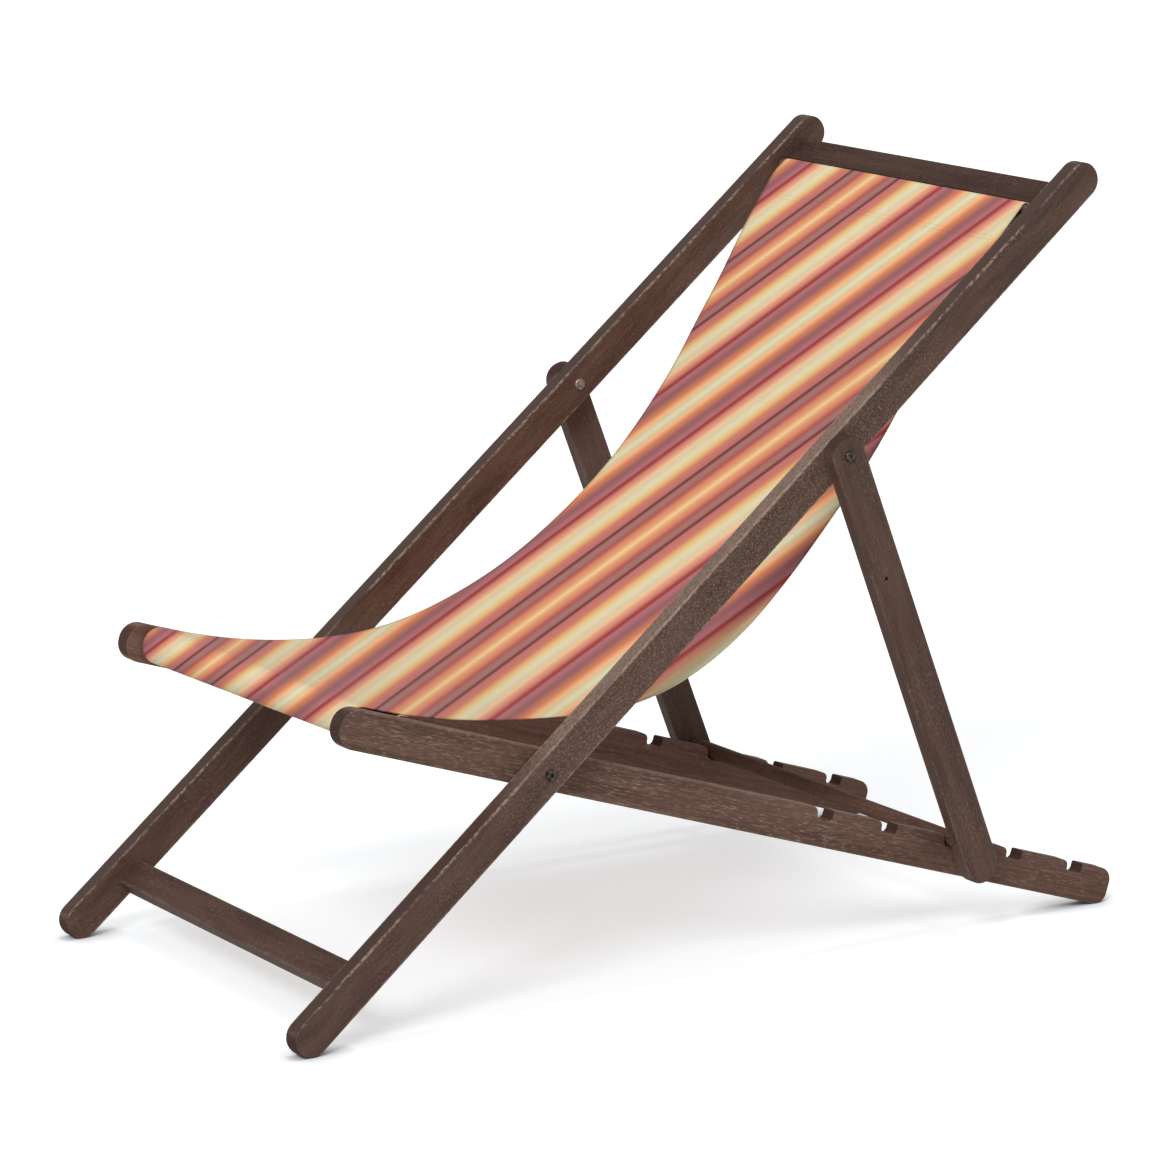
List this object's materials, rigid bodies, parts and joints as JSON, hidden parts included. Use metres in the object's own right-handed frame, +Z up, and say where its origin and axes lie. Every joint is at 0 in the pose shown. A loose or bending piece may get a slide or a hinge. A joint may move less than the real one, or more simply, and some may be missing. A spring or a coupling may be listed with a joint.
{
  "type": "deck chair",
  "caption": "Folding wooden deck chair: crossed back and seat frames on pivot bolts, a prop frame whose bar drops into notches, and a striped cloth sling as seat and back.",
  "frame": {"origin": "on the floor, at the middle of the chair's footprint", "axes": "+Z up, the chair faces -Y, +X to the sitter's left"},
  "size_m": [0.585, 1.081, 0.8583],
  "materials": {
    "rail_wood": "satin, dark brown stain",
    "bar_wood": "satin, dark brown stain",
    "bolt_steel": "dull, darkened",
    "plain_steel": "dull zinc",
    "sling_cloth": "matt woven cloth"
  },
  "bodies": {
    "back_frame": {"back_rail_left": "rail_wood", "back_rail_right": "rail_wood", "top_rail": "rail_wood", "foot_rail": "rail_wood", "sling_rod": "bar_wood", "sling": "sling_cloth", "main_pivot_bolt_left": "bolt_steel", "main_pivot_bolt_right": "bolt_steel", "main_pivot_washer_left": "plain_steel", "main_pivot_washer_right": "plain_steel", "main_nut_washer_left": "plain_steel", "main_nut_washer_right": "plain_steel", "main_pivot_nut_left": "plain_steel", "main_pivot_nut_right": "plain_steel", "prop_pivot_bolt_left": "bolt_steel", "prop_pivot_bolt_right": "bolt_steel", "prop_pivot_washer_left": "plain_steel", "prop_pivot_washer_right": "plain_steel", "prop_pivot_nut_left": "plain_steel", "prop_pivot_nut_right": "plain_steel"},
    "seat_frame": {"seat_rail_left": "rail_wood", "seat_rail_right": "rail_wood", "seat_front_bar": "bar_wood"},
    "prop_frame": {"prop_arm_left": "rail_wood", "prop_arm_right": "rail_wood", "prop_crossbar": "bar_wood"}
  },
  "joints": [
    {"name": "seat_hinge", "type": "hinge", "parent": "back_frame", "child": "seat_frame", "pos_m": [0, -0.23109, 0.2606], "axis": [1, 0, 0], "range_deg": [-110, 0], "deforming": ["sling"]},
    {"name": "prop_hinge", "type": "hinge", "parent": "back_frame", "child": "prop_frame", "pos_m": [0, 0.13615, 0.56657], "axis": [1, 0, 0], "range_deg": [-65, 0]}
  ],
  "couplings": [
    {"joint": "prop_hinge", "follows": "seat_hinge", "ratio": 0.59}
  ]
}
